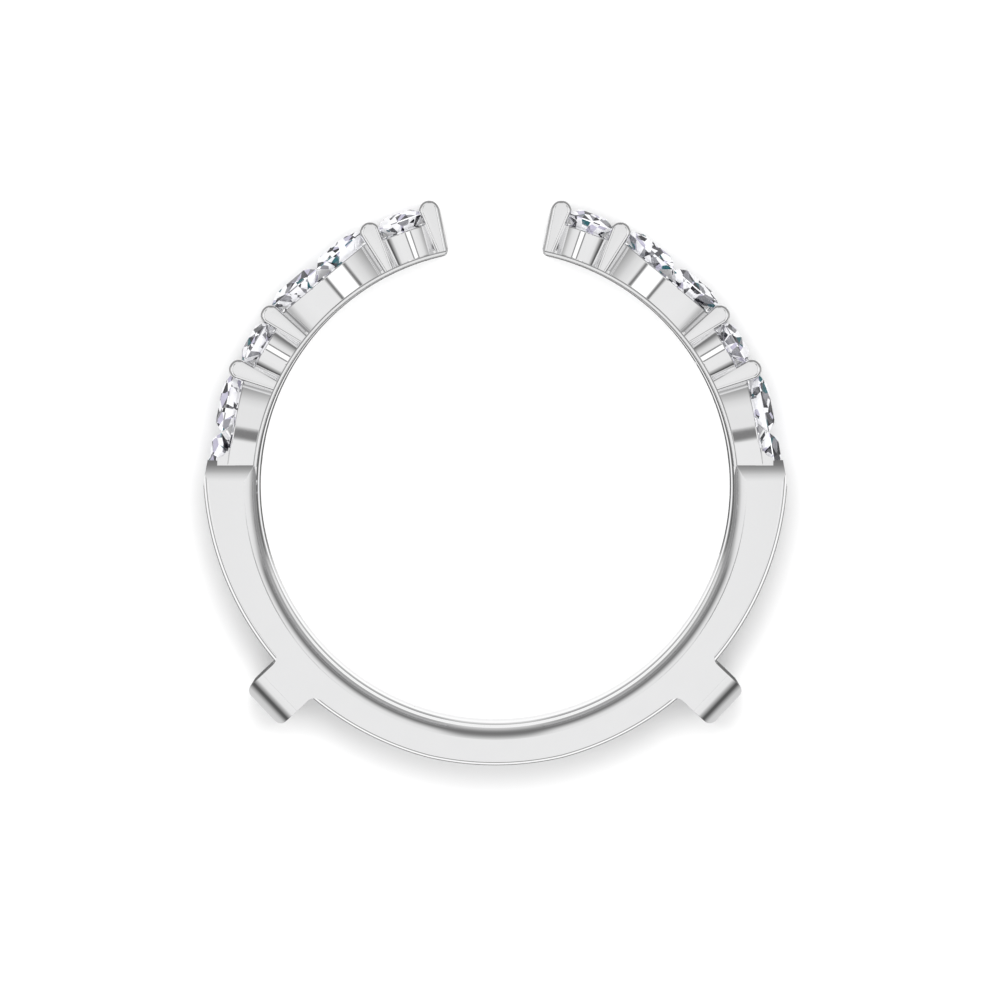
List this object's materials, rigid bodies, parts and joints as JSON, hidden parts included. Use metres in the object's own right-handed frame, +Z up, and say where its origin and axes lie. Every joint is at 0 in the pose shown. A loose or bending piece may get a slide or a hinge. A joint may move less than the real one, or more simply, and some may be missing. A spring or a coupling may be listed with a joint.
{
  "type": "ring guard enhancer",
  "caption": "Open double ring guard in polished white gold: parallel bands joined by bridges, set with round and half-marquise stones, so that a solitaire ring nests between them.",
  "frame": {"origin": "on the finger's axis, in the plane that the ring rests on when it lies on its side", "axes": "+Z up along the finger's axis, out of the front band; +Y towards the opening between the set ends; +X to the right as seen from the front"},
  "size_m": [0.0212, 0.0206, 0.0067],
  "materials": {
    "white_gold": "mirror-polished white gold",
    "stone": "clear, cut and polished"
  },
  "bodies": {
    "root": {"guard_frame": "white_gold", "end_round_left_back": "stone", "first_pair_upper_left_back": "stone", "first_pair_lower_left_back": "stone", "mid_round_left_back": "stone", "second_pair_upper_left_back": "stone", "second_pair_lower_left_back": "stone", "end_round_right_back": "stone", "first_pair_upper_right_back": "stone", "first_pair_lower_right_back": "stone", "mid_round_right_back": "stone", "second_pair_upper_right_back": "stone", "second_pair_lower_right_back": "stone", "end_round_left_front": "stone", "first_pair_upper_left_front": "stone", "first_pair_lower_left_front": "stone", "mid_round_left_front": "stone", "second_pair_upper_left_front": "stone", "second_pair_lower_left_front": "stone", "end_round_right_front": "stone", "first_pair_upper_right_front": "stone", "first_pair_lower_right_front": "stone", "mid_round_right_front": "stone", "second_pair_upper_right_front": "stone", "second_pair_lower_right_front": "stone"}
  },
  "joints": []
}
